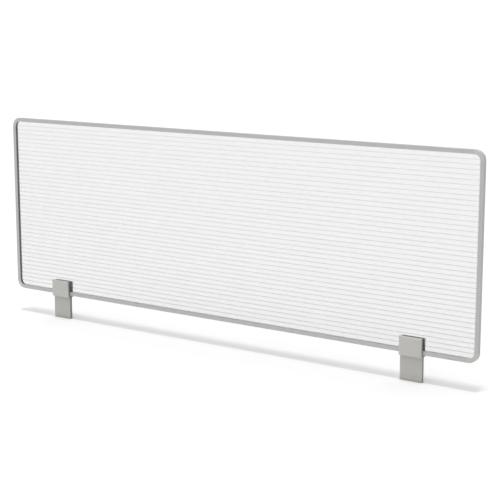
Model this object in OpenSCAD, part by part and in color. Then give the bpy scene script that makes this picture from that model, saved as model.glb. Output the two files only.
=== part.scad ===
// Desk privacy panel: a twin-wall sheet in a channel frame with moulded corner
// elbows, carried over the desk by two clamp brackets.
// X runs along the panel, -Y is the front and Z = 0 is the desk under the feet.

/* [Panel] */
// Overall width of the framed panel
panel_w = 1194; // [700:1:1800]
// Overall height of the framed panel, without the feet
panel_h = 401.5; // [250:0.5:600]
// Height of the frame's lower edge above the desk
foot_drop = 55; // [40:0.5:90]

/* [Sheet] */
// Thickness of the twin-wall sheet
sheet_t = 6; // [5:0.5:10]
// Thickness of each of the sheet's two skins
skin_t = 0.5; // [0.4:0.05:0.8]
// Thickness of the ribs between the skins
rib_t = 0.5; // [0.3:0.05:0.8]
// Distance from one rib to the next
rib_pitch = 9.6; // [6:0.1:16]
// Height of the lowest rib above the frame's lower edge
rib_low = 8.9; // [6:0.1:16]

/* [Frame] */
// Width of the channel as seen from the front
rail_face = 8.5; // [8:0.1:12]
// How much narrower the channel is at the back
rear_step = 1.2; // [0:0.1:2]
// Thickness of the channel's two flanges
flange_t = 1.3; // [1:0.1:1.8]
// Outer radius of the panel's corners
corner_r = 20.5; // [16:0.5:40]
// Length of the tongues that join the elbows to the rails
tongue_len = 24; // [10:1:60]

/* [Brackets] */
// Distance from the panel's end to the middle of a bracket
bracket_inset = 141; // [90:1:260]
// Width of the clamp plate
plate_w = 50; // [44:0.5:80]
// Height of the clamp plate
plate_h = 38; // [34:0.5:60]
// Thickness of the clamp plate
plate_t = 5.75; // [5.5:0.05:8]
// How far the clamp plate reaches below the frame's lower edge
plate_lap = 5.25; // [3:0.25:10]
// Thickness of the wall behind the sheet
rear_wall_t = 2.5; // [2:0.1:5]
// Thickness of the foot bar
foot_t = 8; // [7:0.1:8.5]

/* [Fasteners] */
// Distance between the two clamp screws of a bracket
screw_spacing = 28; // [18:1:32]
// How far a clamp screw reaches into the clamp plate
screw_reach = 3.7; // [2.5:0.1:4.1]
// Distance between the two tapped holes under a foot
foot_hole_spacing = 30; // [12:1:34]
// Depth of the tapped holes under a foot
foot_hole_depth = 16; // [8:1:30]

/* [Hidden] */
$fn = 64;

// Channel: the slot takes the sheet with a little play on each side
slot_play = 0.05;
rail_t = sheet_t + 2 * (slot_play + flange_t);
rail_web_t = 1.5;
rail_edge_r = 0.7;
seam_gap = 0.15;
rail_z = foot_drop + panel_h;

// Elbows: a thicker web, from which the tongues run along the rails' webs
sheet_inset = 3.6;
elbow_web_t = 3.3;
tongue_play = 0.1;
tongue_t = elbow_web_t - rail_web_t - tongue_play;
tongue_w = sheet_t - 0.2;
tongue_root = 1;
tongue_tip = 1.2;

// Clamp: plate and rear wall stand just off the frame's faces
face_play = 0.15;
plate_back = rail_t / 2 + face_play;
rear_front = rail_t / 2 + face_play;
plate_z = foot_drop - plate_lap;
plate_edge_r = 2.4;
wall_edge_r = 1.2;
wall_drop = 0.7;
foot_side_inset = 0.75;
foot_w = plate_w - 2 * foot_side_inset;
foot_edge_r = 1.2;
foot_front = -rail_t / 2;

// Pads fill the space between the sheet and the clamp's two walls
pad_t = rear_front - sheet_t / 2;
pad_side = 1.5;
pad_w = plate_w - 2 * pad_side;
pad_z = foot_drop + rail_face + 0.4;
pad_top = plate_z + plate_h - 2;

// Clamp screws: M4 button heads, hexagon socket, standing on washers
screw_r = 1.95;
tapped_r = 2;
tapped_depth = 4.4;
passage_r = 2.25;
head_r = 3.8;
head_h = 2.2;
head_rim = 0.5;
socket_flats = 2.5;
socket_depth = 1.3;
washer_r = 4.5;
washer_t = 0.8;
screw_z = (pad_z + pad_top) / 2;
head_y = rear_front + rear_wall_t + washer_t;
screw_len = head_y + plate_back + screw_reach;

// Sleeves: they carry the clamp's pull past the hollow sheet
sleeve_r = 3.5;
sleeve_play = 0.2;
sleeve_end_play = 0.1;
sleeve_len = 2 * (plate_back - sleeve_end_play);

// Tapped holes for M5 screws that hold the feet down
foot_hole_r = 2.1;

bracket_x = panel_w / 2 - bracket_inset;
corner_x = panel_w / 2 - corner_r;
low_corner_z = foot_drop + corner_r;
high_corner_z = rail_z - corner_r;
side_len = high_corner_z - low_corner_z;

silver = [0.70, 0.70, 0.68];
moulded = [0.68, 0.68, 0.67];
clear = [0.93, 0.94, 0.94, 0.6];
dark_rubber = [0.16, 0.16, 0.16];
zinc = [0.62, 0.63, 0.65];
nylon = [0.85, 0.85, 0.82];

// A rectangle about the origin with round corners
module round_rect(w, h, r) {
    square([w - 2 * r, h], center = true);
    square([w, h - 2 * r], center = true);
    for (x = [-1, 1], y = [-1, 1])
        translate([x * (w / 2 - r), y * (h / 2 - r)]) circle(r);
}

// A channel's section: x is the depth from its outer face, y is across it
module channel_section(web_t) {
    difference() {
        union() {
            half_section(rail_face, -rail_t);
            half_section(rail_face - rear_step, 0);
        }
        translate([web_t, -sheet_t / 2 - slot_play])
            square([rail_face, sheet_t + 2 * slot_play]);
    }
}

// The half of a channel's outline whose lowest y is given, without its slot
module half_section(face, y) {
    intersection() {
        translate([face / 2, 0]) round_rect(face, rail_t, rail_edge_r);
        translate([0, y]) square([face, rail_t]);
    }
}

// A straight channel rail along X, its outer face up at Z = 0
module rail(length) {
    color(silver)
        translate([-length / 2 + seam_gap, 0, 0]) rotate([0, 90, 0])
            linear_extrude(length - 2 * seam_gap) channel_section(rail_web_t);
}

// A flat tongue along -X with a chamfered tip, its top at Z = 0
module tongue() {
    rotate([90, 0, 0])
        linear_extrude(tongue_w, center = true)
            polygon([[tongue_root, 0], [tongue_tip - tongue_len, 0],
                     [-tongue_len, -tongue_t / 2], [tongue_tip - tongue_len, -tongue_t],
                     [tongue_root, -tongue_t]]);
}

// The top right elbow, about the centre of its corner
module elbow() {
    reach = corner_r - elbow_web_t + tongue_t;
    color(moulded) {
        rotate([90, 0, 0])
            rotate_extrude(angle = 90)
                translate([corner_r, 0]) rotate(180) channel_section(elbow_web_t);
        translate([0, 0, reach]) tongue();
        mirror([1, 0, -1]) translate([0, 0, reach]) tongue();
    }
}

module elbow_top_right() { translate([corner_x, 0, high_corner_z]) elbow(); }
module elbow_top_left() { mirror([1, 0, 0]) elbow_top_right(); }
module elbow_bottom_right() { translate([corner_x, 0, low_corner_z]) mirror([0, 0, 1]) elbow(); }
module elbow_bottom_left() { mirror([1, 0, 0]) elbow_bottom_right(); }

module top_rail() { translate([0, 0, rail_z]) rail(2 * corner_x); }
module bottom_rail() { translate([0, 0, foot_drop]) mirror([0, 0, 1]) rail(2 * corner_x); }
module right_rail() {
    translate([panel_w / 2, 0, foot_drop + panel_h / 2]) rotate([0, 90, 0]) rail(side_len);
}
module left_rail() { mirror([1, 0, 0]) right_rail(); }

// Places its children at the two clamp screws of the bracket on one side
module at_screws(side) {
    for (x = [-1, 1])
        translate([side * bracket_x + x * screw_spacing / 2, 0, screw_z]) children();
}

// A round bar along Y, from y to y + length
module bar_y(y, length, r) {
    translate([0, y + length, 0]) rotate([90, 0, 0]) cylinder(h = length, r = r);
}

// Two skins joined by ribs, with open cells along X and holes for the sleeves
module twin_wall_sheet() {
    w = panel_w - 2 * sheet_inset;
    h = panel_h - 2 * sheet_inset;
    ribs = ceil((panel_h - rib_low) / rib_pitch);
    color(clear)
        difference() {
            translate([0, 0, foot_drop + panel_h / 2]) rotate([90, 0, 0])
                linear_extrude(sheet_t, center = true)
                    round_rect(w, h, corner_r - sheet_inset);
            for (n = [-2 : ribs])
                translate([-panel_w / 2, skin_t - sheet_t / 2,
                           foot_drop + rib_low + n * rib_pitch + rib_t / 2])
                    cube([panel_w, sheet_t - 2 * skin_t, rib_pitch - rib_t]);
            for (side = [-1, 1])
                at_screws(side) bar_y(-sheet_t, 2 * sheet_t, sleeve_r + sleeve_play);
        }
}

// A slab standing on XZ, centred on X, its back at Y = 0 and its front edges round
module slab(w, h, t, r) {
    intersection() {
        linear_extrude(h) translate([0, -t / 2]) half_round_rect(w, t, r);
        translate([-w / 2, 0, h / 2]) rotate([0, 90, 0])
            linear_extrude(w) translate([0, -t / 2]) half_round_rect(h, t, r);
    }
}

// A rectangle whose two corners on the -Y side are round
module half_round_rect(w, t, r) {
    translate([-w / 2, r - t / 2]) square([w, t - r]);
    translate([r - w / 2, -t / 2]) square([w - 2 * r, t]);
    for (x = [-1, 1]) translate([x * (w / 2 - r), r - t / 2]) circle(r);
}

// Foot bar under the frame, and the wall that rises behind the sheet
module bracket(side) {
    color(silver)
        difference() {
            translate([side * bracket_x, 0, 0]) {
                linear_extrude(foot_drop) translate([0, foot_front + foot_t / 2])
                    round_rect(foot_w, foot_t, foot_edge_r);
                translate([-foot_w / 2 + foot_edge_r, 0, plate_z])
                    cube([foot_w - 2 * foot_edge_r, rear_front + rear_wall_t / 2, plate_lap]);
                translate([0, rear_front, plate_z])
                    mirror([0, 1, 0]) slab(plate_w, plate_h - wall_drop, rear_wall_t, wall_edge_r);
            }
            at_screws(side) bar_y(rear_front - 1, rear_wall_t + 2, passage_r);
            for (x = [-1, 1])
                translate([side * bracket_x + x * foot_hole_spacing / 2,
                           foot_front + foot_t / 2, -1])
                    cylinder(h = foot_hole_depth + 1, r = foot_hole_r);
        }
}

// Front plate with blind tapped holes in its back
module clamp_plate(side) {
    color(silver)
        difference() {
            translate([side * bracket_x, -plate_back, plate_z]) slab(plate_w, plate_h, plate_t, plate_edge_r);
            at_screws(side) bar_y(-plate_back - tapped_depth, tapped_depth + 1, tapped_r);
        }
}

// Rubber pad between the sheet and a wall of the clamp, from y to y + pad_t
module pad(side, y) {
    color(dark_rubber)
        difference() {
            translate([side * bracket_x - pad_w / 2, y, pad_z])
                cube([pad_w, pad_t, pad_top - pad_z]);
            at_screws(side) bar_y(y - 1, pad_t + 2, sleeve_r + sleeve_play);
        }
}

module front_pad(side) { pad(side, -sheet_t / 2 - pad_t); }
module rear_pad(side) { pad(side, sheet_t / 2); }

// Button-head screw along Y, its head's underside at head_y
module screw(side, x) {
    dome_r = (head_r * head_r + pow(head_h - head_rim, 2)) / (2 * (head_h - head_rim));
    color(zinc)
        translate([side * bracket_x + x * screw_spacing / 2, head_y, screw_z])
            rotate([-90, 0, 0])
                difference() {
                    union() {
                        translate([0, 0, -screw_len]) cylinder(h = screw_len, r = screw_r);
                        cylinder(h = head_rim, r = head_r);
                        intersection() {
                            cylinder(h = head_h, r = head_r);
                            translate([0, 0, head_h - dome_r]) sphere(dome_r);
                        }
                    }
                    translate([0, 0, head_h - socket_depth])
                        cylinder(h = socket_depth + 1, d = socket_flats / cos(30), $fn = 6);
                }
}

module washers(side) {
    color(zinc)
        at_screws(side)
            difference() {
                bar_y(head_y - washer_t, washer_t, washer_r);
                bar_y(head_y - washer_t - 1, washer_t + 2, passage_r);
            }
}

module sleeves(side) {
    color(nylon)
        at_screws(side)
            difference() {
                bar_y(-sleeve_len / 2, sleeve_len, sleeve_r);
                bar_y(-sleeve_len, 2 * sleeve_len, passage_r);
            }
}

twin_wall_sheet();
top_rail();
bottom_rail();
left_rail();
right_rail();
elbow_top_left();
elbow_top_right();
elbow_bottom_left();
elbow_bottom_right();
bracket(-1);  // left_bracket
bracket(1);  // right_bracket
clamp_plate(-1);  // left_clamp_plate
clamp_plate(1);  // right_clamp_plate
front_pad(-1);  // left_front_pad
front_pad(1);  // right_front_pad
rear_pad(-1);  // left_rear_pad
rear_pad(1);  // right_rear_pad
screw(-1, -1);  // left_screw_outer
screw(-1, 1);  // left_screw_inner
screw(1, -1);  // right_screw_inner
screw(1, 1);  // right_screw_outer
washers(-1);  // left_washers
washers(1);  // right_washers
sleeves(-1);  // left_sleeves
sleeves(1);  // right_sleeves
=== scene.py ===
import math
import bmesh
import bpy
from mathutils import Matrix, Vector


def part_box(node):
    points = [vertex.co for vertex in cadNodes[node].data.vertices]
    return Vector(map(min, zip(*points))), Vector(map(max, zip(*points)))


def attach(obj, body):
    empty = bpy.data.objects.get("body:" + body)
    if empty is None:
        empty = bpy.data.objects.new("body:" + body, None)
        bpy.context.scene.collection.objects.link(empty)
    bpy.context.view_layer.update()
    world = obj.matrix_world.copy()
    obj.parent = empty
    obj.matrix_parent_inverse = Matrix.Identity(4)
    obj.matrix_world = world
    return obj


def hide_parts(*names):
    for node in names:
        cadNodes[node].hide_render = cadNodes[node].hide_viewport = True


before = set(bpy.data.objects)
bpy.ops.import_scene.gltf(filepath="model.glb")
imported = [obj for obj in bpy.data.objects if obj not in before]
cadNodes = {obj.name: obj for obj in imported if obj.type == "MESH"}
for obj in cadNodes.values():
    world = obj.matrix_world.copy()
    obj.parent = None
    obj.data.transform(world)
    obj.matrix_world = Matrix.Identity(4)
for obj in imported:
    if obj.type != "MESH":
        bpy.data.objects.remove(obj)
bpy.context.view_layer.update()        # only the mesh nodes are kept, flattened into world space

scene = bpy.context.scene
print("frame loaded with", len(cadNodes), "nodes")

# camera
viewpoint = {
    "azimuth": 35.26,          # degrees round from straight in front, towards the right end
    "elevation": 10.59,        # degrees above the horizon
    "stand": (1.6412, -2.2176, 0.7234),   # where the camera stands
    "lens": 96.2,
    "sensor": 36.0,
}


def addCamera(v):
    data = bpy.data.cameras.new("camera")
    cam = bpy.data.objects.new("camera", data)
    scene.collection.objects.link(cam)
    a = math.radians(v["azimuth"])
    e = math.radians(v["elevation"])
    back = Vector((math.sin(a) * math.cos(e), -math.cos(a) * math.cos(e), math.sin(e)))
    cam.location = v["stand"]
    cam.rotation_mode = "QUATERNION"
    cam.rotation_quaternion = (-back).to_track_quat("-Z", "Y")
    data.lens = v["lens"]
    data.sensor_width = v["sensor"]
    data.dof.use_dof = False
    scene.camera = cam


addCamera(viewpoint)
print("camera set")


# node helpers
def addNode(tree, kind, inputs=None, **settings):
    node = tree.nodes.new(kind)
    for key, value in settings.items():
        setattr(node, key, value)
    for key, value in (inputs or {}).items():
        if isinstance(value, bpy.types.NodeSocket):
            tree.links.new(value, node.inputs[key])
        else:
            node.inputs[key].default_value = value
    return node


def objectPoint(tree, scale=(1, 1, 1)):
    place = addNode(tree, "ShaderNodeTexCoord").outputs["Object"]
    return addNode(tree, "ShaderNodeMapping", {"Vector": place, "Scale": scale}).outputs[0]


def noise(tree, point, scale, detail=3.0, rough=0.55):
    return addNode(tree, "ShaderNodeTexNoise", {"Vector": point, "Scale": scale,
                   "Detail": detail, "Roughness": rough}).outputs["Fac"]


def remap(tree, value, low, high, outLow, outHigh, smooth=False):
    kind = "SMOOTHSTEP" if smooth else "LINEAR"
    return addNode(tree, "ShaderNodeMapRange", {"Value": value, "From Min": low,
                   "From Max": high, "To Min": outLow, "To Max": outHigh},
                   interpolation_type=kind).outputs[0]


def calc(tree, operation, a, b=0.0, c=0.0):
    return addNode(tree, "ShaderNodeMath", {0: a, 1: b, 2: c}, operation=operation).outputs[0]


def mixColour(tree, factor, a, b):
    node = addNode(tree, "ShaderNodeMix", {0: factor}, data_type="RGBA")
    for socket, value in ((node.inputs[6], a), (node.inputs[7], b)):
        if isinstance(value, bpy.types.NodeSocket):
            tree.links.new(value, socket)
        else:
            socket.default_value = (*value, 1)
    return node.outputs[2]


def edgeMask(tree, radius):      # 1 along an edge, 0 on a flat or a slow curve
    soft = addNode(tree, "ShaderNodeBevel", {"Radius": radius}, samples=4).outputs[0]
    hard = addNode(tree, "ShaderNodeNewGeometry").outputs["Normal"]
    turn = addNode(tree, "ShaderNodeVectorMath", {0: soft, 1: hard}, operation="DOT_PRODUCT")
    return remap(tree, turn.outputs["Value"], 0.995, 0.86, 0.0, 1.0)


def relief(tree, height, depth, strength=1.0):
    return addNode(tree, "ShaderNodeBump", {"Height": height, "Distance": depth,
                   "Strength": strength}).outputs[0]


def newMaterial(name, rough, **fixed):
    m = bpy.data.materials.new(name)
    m.use_nodes = True
    shader = m.node_tree.nodes["Principled BSDF"]
    shader.inputs["Roughness"].default_value = rough
    for key, value in fixed.items():
        shader.inputs[key].default_value = value
    return m, m.node_tree, shader


# studio
studio = {
    "floorSize": 400.0,
    "floorColour": (0.875, 0.875, 0.875),
    "backdrop": 1.05,
    "skyLow": 0.45,            # at the horizon
    "skyHigh": 1.03,           # overhead
    "skyRise": (0.1, 0.6),     # where the sky brightens, as the height of a direction
    "sideFall": (0.05, 0.6),   # where it dims towards the right, as the X of a direction
    "sideShare": 0.28,         # the room is dark past the panel's right end
    "lamps": (                 # light, lean forward and disc in degrees: shadows fall close by
        (1.12, 4.0, 5.4),
        (0.42, -1.4, 4.4),
    ),
}


def addFloor(s):
    bm = bmesh.new()
    bmesh.ops.create_grid(bm, x_segments=1, y_segments=1, size=s["floorSize"] / 2)
    mesh = bpy.data.meshes.new("floor")
    bm.to_mesh(mesh)
    bm.free()
    floor = bpy.data.objects.new("floor", mesh)
    scene.collection.objects.link(floor)
    paper, tree, shader = newMaterial("whitePaper", 0.9)
    shader.inputs["Base Color"].default_value = (*s["floorColour"], 1)
    shader.inputs["Specular IOR Level"].default_value = 0.0
    mesh.materials.append(paper)


def addWorld(s):
    world = bpy.data.worlds.new("studio")
    scene.world = world
    world.use_nodes = True
    tree = world.node_tree
    way = addNode(tree, "ShaderNodeTexCoord").outputs["Generated"]
    split = addNode(tree, "ShaderNodeSeparateXYZ", {0: way}).outputs
    rise = remap(tree, split["Z"], *s["skyRise"], s["skyLow"], s["skyHigh"], True)
    side = remap(tree, split["X"], *s["sideFall"], 1.0, s["sideShare"], True)
    light = calc(tree, "MULTIPLY", rise, side)
    glow = tree.nodes["Background"]
    glow.inputs["Color"].default_value = (1, 1, 1, 1)
    tree.links.new(light, glow.inputs["Strength"])
    backdrop = addNode(tree, "ShaderNodeBackground", {"Color": (1, 1, 1, 1),
                       "Strength": s["backdrop"]})
    seen = addNode(tree, "ShaderNodeLightPath").outputs["Is Camera Ray"]
    mix = addNode(tree, "ShaderNodeMixShader", {0: seen, 1: glow.outputs[0],
                  2: backdrop.outputs[0]})
    tree.links.new(mix.outputs[0], tree.nodes["World Output"].inputs["Surface"])


def addLamps(s):
    for light, lean, disc in s["lamps"]:
        data = bpy.data.lights.new("overhead", "SUN")
        data.energy = light
        data.angle = math.radians(disc)
        lamp = bpy.data.objects.new("overhead", data)
        lamp.rotation_euler = (math.radians(lean), 0, 0)
        scene.collection.objects.link(lamp)


scene.view_settings.view_transform = "Standard"
scene.view_settings.look = "None"
scene.cycles.transparent_max_bounces = 24      # a steep look passes many skins and ribs
addFloor(studio)
addWorld(studio)
addLamps(studio)
print("studio lit")

# metals
satinSilver = {
    "light": (0.577, 0.571, 0.543),
    "dark": (0.527, 0.521, 0.495),
    "worn": (0.73, 0.725, 0.70),
    "metallic": 0.35,
    "roughness": (0.40, 0.54),
    "edge": 0.0006,
    "cloudScale": 14,
    "fleckScale": 2600,
    "rubScale": 180,
    "cloudShare": 0.55,        # of the tone, the rest comes from the drawn lines
    "polish": -0.12,           # what rubbing takes off the roughness
    "grainDepth": 0.00003,
}


def tinted(colour, tint):
    return tuple(c * t for c, t in zip(colour, tint))


def silverFinish(name, s, grain, grainScale, tint):
    # grain stretches the pattern: its small number is the way that the metal was drawn
    m, tree, shader = newMaterial(name, 0.45, Metallic=s["metallic"])
    cloud = noise(tree, objectPoint(tree), s["cloudScale"], 4)
    lines = noise(tree, objectPoint(tree, grain), grainScale, 5, 0.7)
    fleck = noise(tree, objectPoint(tree), s["fleckScale"], 2)
    wear = edgeMask(tree, s["edge"])
    patches = noise(tree, objectPoint(tree), s["rubScale"], 4)
    rubbed = calc(tree, "MULTIPLY", wear, remap(tree, patches, 0.38, 0.62, 0.25, 1.0))
    clouded = calc(tree, "MULTIPLY", cloud, s["cloudShare"])
    tone = calc(tree, "MULTIPLY_ADD", lines, 1 - s["cloudShare"], clouded)
    tone = remap(tree, tone, 0.34, 0.66, 0.0, 1.0)
    colour = mixColour(tree, tone, tinted(s["dark"], tint), tinted(s["light"], tint))
    colour = mixColour(tree, rubbed, colour, tinted(s["worn"], tint))
    tree.links.new(colour, shader.inputs["Base Color"])
    smudge = remap(tree, cloud, 0.35, 0.65, *s["roughness"])
    rough = calc(tree, "MULTIPLY_ADD", rubbed, s["polish"], smudge)
    tree.links.new(rough, shader.inputs["Roughness"])
    height = calc(tree, "MULTIPLY_ADD", fleck, 0.5, lines)
    tree.links.new(relief(tree, height, s["grainDepth"], 0.5), shader.inputs["Normal"])
    return m


zincSteel = {
    "light": (0.66, 0.67, 0.69),
    "dark": (0.50, 0.51, 0.54),
    "worn": (0.82, 0.82, 0.83),
    "roughness": (0.24, 0.40),
    "edge": 0.0002,
    "cloudScale": 420,
    "fleckScale": 5200,
    "fleckDepth": 0.00001,
}


def zincFinish(name, s):
    m, tree, shader = newMaterial(name, 0.3, Metallic=1.0)
    cloud = noise(tree, objectPoint(tree), s["cloudScale"], 5, 0.65)
    fleck = noise(tree, objectPoint(tree), s["fleckScale"], 2)
    wear = edgeMask(tree, s["edge"])
    colour = mixColour(tree, remap(tree, cloud, 0.35, 0.65, 0, 1), s["dark"], s["light"])
    tree.links.new(mixColour(tree, wear, colour, s["worn"]), shader.inputs["Base Color"])
    rough = remap(tree, cloud, 0.3, 0.7, *s["roughness"])
    tree.links.new(rough, shader.inputs["Roughness"])
    tree.links.new(relief(tree, fleck, s["fleckDepth"], 0.4), shader.inputs["Normal"])
    return m


# tints of the metals; the foot, upright and end entries also darken the metal as painted shade
metalTintAndPaintedShade = {
    "across": (0.958, 0.970, 0.993),
    # upright rails: a neutral tint like the across rails, 1 to 2% darker as painted shade
    "upright": (0.938, 0.956, 0.982),
    "plate": (1.0, 1.0, 1.0),
    # the bracket's foot and rear wall: the plate's metal darkened 8% as painted shade
    "foot": (0.92, 0.92, 0.92),
    # end faces: the metal darkened to 0.56 as painted shade
    "sawn": (0.56, 0.56, 0.56),
}
railAcross = silverFinish("anodisedAcross", satinSilver, (0.006, 1, 1), 3200, metalTintAndPaintedShade["across"])
# upright rails, 1 to 2% darker than the across rails as painted shade
railUpright = silverFinish("anodisedUpright", satinSilver, (1, 1, 0.006), 3200,
                           metalTintAndPaintedShade["upright"])
plateMetal = silverFinish("anodisedPlate", satinSilver, (0.03, 1, 1), 2400, metalTintAndPaintedShade["plate"])
# the bracket's metal, 8% darker than the plate's as painted shade
footMetalPaintedShade = silverFinish("anodisedFootPaintedShade", satinSilver, (1, 1, 0.03), 2400, metalTintAndPaintedShade["foot"])
# end faces that look along X, darkened as painted shade
endPaintedShadeMetal = silverFinish("endFacePaintedShade", satinSilver, (1, 0.02, 1), 1500, metalTintAndPaintedShade["sawn"])
screwZinc = zincFinish("zincSteel", zincSteel)
print("metals ready")

# plastics and rubber
mouldedGrey = {
    "light": (0.577, 0.578, 0.557),
    "dark": (0.548, 0.549, 0.528),
    "worn": (0.66, 0.66, 0.64),
    "roughness": (0.38, 0.5),
    "edge": 0.0005,
    "partingHalf": 0.00012,    # half width of the mould's parting line
    "partingHeight": 1.6,      # next to the grit's height
    "cloudScale": 60,
    "gritScale": 2100,
    "gritDepth": 0.00003,
}


def mouldedFinish(s):
    m, tree, shader = newMaterial("mouldedSilver", 0.42)
    cloud = noise(tree, objectPoint(tree), s["cloudScale"], 4)
    grit = noise(tree, objectPoint(tree), s["gritScale"], 3)
    wear = edgeMask(tree, s["edge"])
    colour = mixColour(tree, remap(tree, cloud, 0.35, 0.65, 0, 1), s["dark"], s["light"])
    tree.links.new(mixColour(tree, wear, colour, s["worn"]), shader.inputs["Base Color"])
    rough = remap(tree, cloud, 0.3, 0.7, *s["roughness"])
    tree.links.new(rough, shader.inputs["Roughness"])
    y = addNode(tree, "ShaderNodeSeparateXYZ", {0: objectPoint(tree)}).outputs["Y"]
    seam = remap(tree, calc(tree, "ABSOLUTE", y), 0, s["partingHalf"], 1.0, 0.0, True)
    height = calc(tree, "MULTIPLY_ADD", seam, s["partingHeight"], grit)
    tree.links.new(relief(tree, height, s["gritDepth"], 0.6), shader.inputs["Normal"])
    return m


greyRubber = {
    "dark": (0.26, 0.26, 0.26),
    "light": (0.34, 0.34, 0.336),
    "roughness": (0.68, 0.88),
    "cloudScale": 240,
    "gritScale": 3400,
    "gritDepth": 0.00004,
}


def rubberFinish(s):
    m, tree, shader = newMaterial("greyRubber", 0.8)
    cloud = noise(tree, objectPoint(tree), s["cloudScale"], 5)
    grit = noise(tree, objectPoint(tree), s["gritScale"], 3)
    bloom = remap(tree, cloud, 0.4, 0.7, 0, 1)
    colour = mixColour(tree, bloom, s["dark"], s["light"])
    tree.links.new(colour, shader.inputs["Base Color"])
    rough = remap(tree, cloud, 0.3, 0.7, *s["roughness"])
    tree.links.new(rough, shader.inputs["Roughness"])
    tree.links.new(relief(tree, grit, s["gritDepth"], 0.8), shader.inputs["Normal"])
    return m


naturalNylon = {
    "dark": (0.70, 0.69, 0.63),
    "light": (0.80, 0.79, 0.74),
    "roughness": (0.34, 0.5),
    "cloudScale": 300,
    "turnedScale": 2600,
    "turnedDepth": 0.00002,
}


def nylonFinish(s):
    m, tree, shader = newMaterial("naturalNylon", 0.4)
    cloud = noise(tree, objectPoint(tree), s["cloudScale"], 3)
    turned = noise(tree, objectPoint(tree, (1, 0.05, 1)), s["turnedScale"], 2)
    tone = remap(tree, cloud, 0.3, 0.7, 0, 1)
    tree.links.new(mixColour(tree, tone, s["dark"], s["light"]), shader.inputs["Base Color"])
    rough = remap(tree, cloud, 0.3, 0.7, *s["roughness"])
    tree.links.new(rough, shader.inputs["Roughness"])
    tree.links.new(relief(tree, turned, s["turnedDepth"], 0.5), shader.inputs["Normal"])
    return m


elbowPlastic = mouldedFinish(mouldedGrey)
padRubber = rubberFinish(greyRubber)
sleeveNylon = nylonFinish(naturalNylon)
print("plastics ready")

# twin-wall sheet
sheetForm = {
    "lowestRib": 0.0639,
    "ribPitch": 0.0096,
    "ribs": 41,
    "sag": 0.00006,            # how far a skin sinks between two ribs
    "rows": (0.12, 0.3, 0.5, 0.7, 0.88),   # where a skin is divided between two ribs
    "columns": 15,
    "skinAlpha": (0.102, 0.066),           # at a rib, between ribs
    "skinColour": (0.27, 0.275, 0.275),
    "ribAlpha": 0.22,
    "ribColour": (0.22, 0.225, 0.225),
    "drawn": (0.01, 1, 1),     # streaks run along X, as the sheet was drawn
    "streakScale": 700,
    "streakAlpha": 0.005,      # how far streaks change a skin's alpha
    "streakDepth": 0.00002,
    "scuffScale": 30,
    "ribStreakScale": 900,
    "ribStreakAlpha": 0.03,
    "nearRib": 0.14,           # how far a rib's denser foot reaches, in rib pitches
    "roughness": (0.06, 0.16),
    "ribFacing": 0.7,          # a face that looks up or down this much belongs to a rib
    "innerHalf": 0.001,        # nearer the middle than this a point isn't on a skin
    "smooth": 20,
}


def skinFinish(s):
    m, tree, shader = newMaterial("clearSkin", 0.1, IOR=1.58)
    z = addNode(tree, "ShaderNodeSeparateXYZ", {0: objectPoint(tree)}).outputs["Z"]
    cell = calc(tree, "DIVIDE", calc(tree, "SUBTRACT", z, s["lowestRib"]), s["ribPitch"])
    away = calc(tree, "PINGPONG", cell, 0.5)     # 0 at a rib, 0.5 between two
    streak = noise(tree, objectPoint(tree, s["drawn"]), s["streakScale"], 4)
    scuff = noise(tree, objectPoint(tree), s["scuffScale"], 5, 0.65)
    dense = remap(tree, away, 0.0, s["nearRib"], *s["skinAlpha"], True)
    haze = calc(tree, "MULTIPLY_ADD", remap(tree, streak, 0.3, 0.7, -1, 1),
                s["streakAlpha"], dense)
    tree.links.new(haze, shader.inputs["Alpha"])
    tint = mixColour(tree, scuff, s["skinColour"], tinted(s["skinColour"], (1.06, 1.06, 1.06)))
    tree.links.new(tint, shader.inputs["Base Color"])
    rough = remap(tree, scuff, 0.3, 0.7, *s["roughness"])
    tree.links.new(rough, shader.inputs["Roughness"])
    tree.links.new(relief(tree, streak, s["streakDepth"], 0.2), shader.inputs["Normal"])
    return m


def ribFinish(s):
    m, tree, shader = newMaterial("clearRib", 0.15, IOR=1.58)
    streak = noise(tree, objectPoint(tree, s["drawn"]), s["ribStreakScale"], 4)
    low = s["ribAlpha"] - s["ribStreakAlpha"]
    high = s["ribAlpha"] + s["ribStreakAlpha"]
    tree.links.new(remap(tree, streak, 0.3, 0.7, low, high), shader.inputs["Alpha"])
    tint = mixColour(tree, streak, s["ribColour"], tinted(s["ribColour"], (1.1, 1.1, 1.1)))
    tree.links.new(tint, shader.inputs["Base Color"])
    return m


mergeDistance = 1e-6
fineDistance = 1e-7
flatAngle = math.radians(0.2)


def mergedCopy(node):
    bm = bmesh.new()
    bm.from_mesh(cadNodes[node].data)
    bmesh.ops.remove_doubles(bm, verts=bm.verts, dist=mergeDistance)
    bmesh.ops.dissolve_limit(bm, angle_limit=flatAngle, verts=bm.verts, edges=bm.edges)
    return bm


def finishPiece(bm, name, body, materials, replaced, smooth=30):
    mesh = bpy.data.meshes.new(name)
    for face in bm.faces:
        face.smooth = True
    bm.to_mesh(mesh)
    bm.free()
    mesh.set_sharp_from_angle(angle=math.radians(smooth))
    for m in materials:
        mesh.materials.append(m)
    piece = bpy.data.objects.new(name, mesh)
    scene.collection.objects.link(piece)
    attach(piece, body)
    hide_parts(*replaced)


def cutAcross(bm, point, normal):
    geom = bm.verts[:] + bm.edges[:] + bm.faces[:]
    bmesh.ops.bisect_plane(bm, geom=geom, dist=fineDistance, plane_co=point, plane_no=normal)


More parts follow.
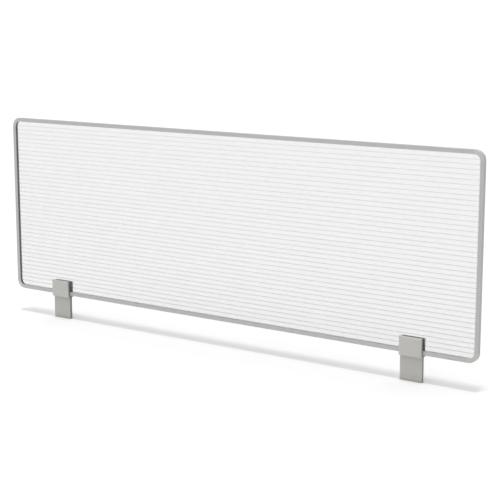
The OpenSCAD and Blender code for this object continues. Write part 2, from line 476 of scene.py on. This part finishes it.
def makeSheet(s):
    bm = mergedCopy("twin_wall_sheet")
    low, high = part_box("twin_wall_sheet")
    for k in range(1, s["columns"]):
        cutAcross(bm, (low.x + (high.x - low.x) * k / s["columns"], 0, 0), (1, 0, 0))
    for rib in range(-1, s["ribs"]):
        for part in s["rows"]:
            z = s["lowestRib"] + (rib + part) * s["ribPitch"]
            if low.z < z < high.z:
                cutAcross(bm, (0, 0, z), (0, 0, 1))
    for v in bm.verts:
        part = (v.co.z - s["lowestRib"]) / s["ribPitch"] % 1
        sink = s["sag"] * math.sin(math.pi * part) ** 2
        if abs(v.co.y) > s["innerHalf"]:
            v.co.y -= math.copysign(sink, v.co.y)
    bm.normal_update()
    for face in bm.faces:
        if abs(face.normal.z) > s["ribFacing"]:
            face.material_index = 1
    finishPiece(bm, "sheet", "panel", [skinFinish(s), ribFinish(s)],
                ["twin_wall_sheet"], s["smooth"])


makeSheet(sheetForm)
print("sheet made")

# brackets and clamp plates
bracketForm = {
    "arris": 0.00022,          # how far the sharp edges are broken
    "steps": 2,
    "sharp": 28,               # degrees past which an edge counts as sharp
    "paintedShadeFacing": 0.95,        # a face that looks along X this much is an end face, darkened as painted shade
}


def breakEdges(bm, width, steps, sharp):
    limit = math.radians(sharp)
    bm.normal_update()
    edges = [e for e in bm.edges if len(e.link_faces) == 2
             and e.calc_face_angle_signed() > limit]
    bmesh.ops.bevel(bm, geom=edges, offset=width, offset_type="OFFSET", affect="EDGES",
                    segments=steps, profile=0.5, material=-1, clamp_overlap=True)


def makeMetalwork(b, side):
    for node, body in ((f"{side}_bracket", "panel"), (f"{side}_clamp_plate", f"{side}_clamp")):
        bm = mergedCopy(node)
        breakEdges(bm, b["arris"], b["steps"], b["sharp"])
        words = node.split("_")
        name = words[0] + "".join(w.capitalize() for w in words[1:])
        bm.normal_update()
        for face in bm.faces:
            # faces that look along X take the end metal, darkened as painted shade
            face.material_index = int(abs(face.normal.x) > b["paintedShadeFacing"])
        bodyMetal = plateMetal if "plate" in node else footMetalPaintedShade
        finishPiece(bm, name, body, [bodyMetal, endPaintedShadeMetal], [node])


for side in ("left", "right"):
    makeMetalwork(bracketForm, side)
print("brackets made")

# rubber pads
padForm = {
    "rim": 0.0004,             # how wide the squeezed rim of an edge is
    "bulge": 0.00012,
    "arris": 0.00015,
    "steps": 2,
    "sharp": 40,
    "reach": 0.00001,          # how near the outline a face has to be
    "edgeFacing": 0.1,         # a face that looks along Y less than this is an edge
}


def makePad(p, side, place, body):
    node = f"{side}_{place}_pad"
    bm = mergedCopy(node)
    bm.normal_update()
    low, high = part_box(node)
    middle = (low + high) / 2
    rim = []
    for face in bm.faces:
        c = face.calc_center_median()
        outer = max(abs(c.x - middle.x) - (high.x - low.x) / 2 + p["reach"],
                    abs(c.z - middle.z) - (high.z - low.z) / 2 + p["reach"])
        if abs(face.normal.y) < p["edgeFacing"] and outer > 0:
            rim.append(face)
    bmesh.ops.inset_individual(bm, faces=rim, thickness=p["rim"], depth=p["bulge"])
    breakEdges(bm, p["arris"], p["steps"], p["sharp"])
    finishPiece(bm, side + place.capitalize() + "Pad", body, [padRubber], [node])


for side in ("left", "right"):
    makePad(padForm, side, "front", f"{side}_clamp")
    makePad(padForm, side, "rear", "panel")
print("pads made")

# screws, washers and sleeves
screwForm = {
    "steps": 36,               # a multiple of six, for the socket's corners
    "headRadius": 0.0038,
    "headHeight": 0.0022,
    "rim": 0.0005,
    "rimBreak": 0.00012,
    "domeSteps": 7,
    "socketHalf": 0.00125,     # half of the socket's width across its flats
    "socketMouth": 0.00012,
    "socketDepth": 0.0013,
    "shankRadius": 0.00195,
    "pitch": 0.0007,
    "threadDepth": 0.00040,
    "ringsPerPitch": 8,
    "tip": 0.0005,
    "socketFloor": 0.0003,     # how much deeper the socket is in its middle
    "threadTop": 0.4,          # the thread ends this many pitches below the head
    "crest": 1.25,             # with slope, the shape of the thread's flanks
    "slope": 1.5,
}


def lathe(points, steps, closed=False):
    # points are (radius, height); the axis is Z
    bm = bmesh.new()
    chain = [bm.verts.new((r, 0, z)) for r, z in points]
    for a, b in zip(chain, chain[1:] + chain[:1] if closed else chain[1:]):
        bm.edges.new((a, b))
    bmesh.ops.spin(bm, geom=bm.verts[:] + bm.edges[:], cent=(0, 0, 0), axis=(0, 0, 1),
                   angle=math.tau, steps=steps, use_merge=True)
    bmesh.ops.remove_doubles(bm, verts=bm.verts, dist=fineDistance)
    bmesh.ops.recalc_face_normals(bm, faces=bm.faces)
    return bm


def hexRadius(angle, half):
    return half / math.cos(angle % (math.pi / 3) - math.pi / 6)


def makeScrew(s, side, place):
    node = f"{side}_screw_{place}"
    low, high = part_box(node)
    length = high.y - low.y - s["headHeight"]
    rise = s["headHeight"] - s["rim"]
    dome = (s["headRadius"] ** 2 + rise ** 2) / (2 * rise)
    mouth = s["socketHalf"] / math.cos(math.pi / 6) + s["socketMouth"]
    rings = int(length / s["pitch"] * s["ringsPerPitch"])
    points = [(0, -length), (s["shankRadius"] - s["tip"], -length)]
    points += [(s["shankRadius"], -length + s["tip"] + (length - s["tip"]) * k / rings)
               for k in range(rings + 1)]
    points += [(s["headRadius"] - s["rimBreak"], 0), (s["headRadius"], s["rimBreak"])]
    for k in range(s["domeSteps"] + 1):
        r = s["headRadius"] + (mouth - s["headRadius"]) * k / s["domeSteps"]
        points.append((r, s["headHeight"] - dome + math.sqrt(dome ** 2 - r ** 2)))
    mouthTop = points[-1][1]
    points += [(mouth - s["socketMouth"], mouthTop - s["socketMouth"]),
               (mouth - s["socketMouth"], s["headHeight"] - s["socketDepth"]),
               (0, s["headHeight"] - s["socketDepth"] - s["socketFloor"])]
    bm = lathe(points, s["steps"])
    for v in bm.verts:
        r = math.hypot(v.co.x, v.co.y)
        angle = math.atan2(v.co.y, v.co.x)
        onSocket = abs(r - mouth + s["socketMouth"]) < mergeDistance and v.co.z > 0
        if onSocket:             # the socket's six sides
            r = hexRadius(angle, s["socketHalf"])
        elif -length + s["tip"] / 2 < v.co.z < -s["pitch"] * s["threadTop"]:     # the thread
            turn = (-v.co.z / s["pitch"] + angle / math.tau) % 1
            flank = min(1, max(0, s["crest"] - abs(2 * turn - 1) * s["slope"]))
            r -= s["threadDepth"] * flank
        elif v.co.z > -length:
            continue
        v.co.x = r * math.cos(angle)
        v.co.y = r * math.sin(angle)
    seat = Vector(((low.x + high.x) / 2, high.y - s["headHeight"], (low.z + high.z) / 2))
    stand = Matrix.Translation(seat) @ Matrix.Rotation(-math.pi / 2, 4, "X")
    bmesh.ops.transform(bm, matrix=stand, verts=bm.verts)
    finishPiece(bm, f"{side}{place.capitalize()}Screw", f"{side}_{place}_screw",
                [screwZinc], [node])


ringForm = {
    "washer": {"outer": 0.0045, "inner": 0.00225, "arris": 0.00015, "steps": 48},
    "sleeve": {"outer": 0.0035, "inner": 0.00225, "arris": 0.0003, "steps": 36},
}


def makeRings(form, node, name, material):
    low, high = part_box(node)
    half = (high.y - low.y) / 2
    a = form["arris"]
    points = [(form["inner"], a - half), (form["inner"] + a, -half), (form["outer"] - a, -half),
              (form["outer"], a - half), (form["outer"], half - a), (form["outer"] - a, half),
              (form["inner"] + a, half), (form["inner"], half - a)]
    bm = lathe(points, form["steps"], True)
    centre = Vector((low.x + form["outer"], (low.y + high.y) / 2, (low.z + high.z) / 2))
    stand = Matrix.Translation(centre) @ Matrix.Rotation(-math.pi / 2, 4, "X")
    bmesh.ops.transform(bm, matrix=stand, verts=bm.verts)
    twin = bmesh.ops.duplicate(bm, geom=bm.verts[:] + bm.edges[:] + bm.faces[:])["geom"]
    bmesh.ops.translate(bm, verts=[g for g in twin if isinstance(g, bmesh.types.BMVert)],
                        vec=(high.x - low.x - 2 * form["outer"], 0, 0))
    finishPiece(bm, name, "panel", [material], [node])


for side in ("left", "right"):
    makeScrew(screwForm, side, "outer")
    makeScrew(screwForm, side, "inner")
    makeRings(ringForm["washer"], f"{side}_washers", side + "Washers", screwZinc)
    makeRings(ringForm["sleeve"], f"{side}_sleeves", side + "Sleeves", sleeveNylon)
print("fasteners made")

# rails and elbows keep the frame's own meshes
railLooks = {
    "top_rail": railAcross,
    "bottom_rail": railAcross,
    "left_rail": railUpright,
    "right_rail": railUpright,
    "elbow_top_left": elbowPlastic,
    "elbow_top_right": elbowPlastic,
    "elbow_bottom_left": elbowPlastic,
    "elbow_bottom_right": elbowPlastic,
}
for name, look in railLooks.items():
    mesh = cadNodes[name].data
    mesh.materials.clear()
    mesh.materials.append(look)
print("frame finished")
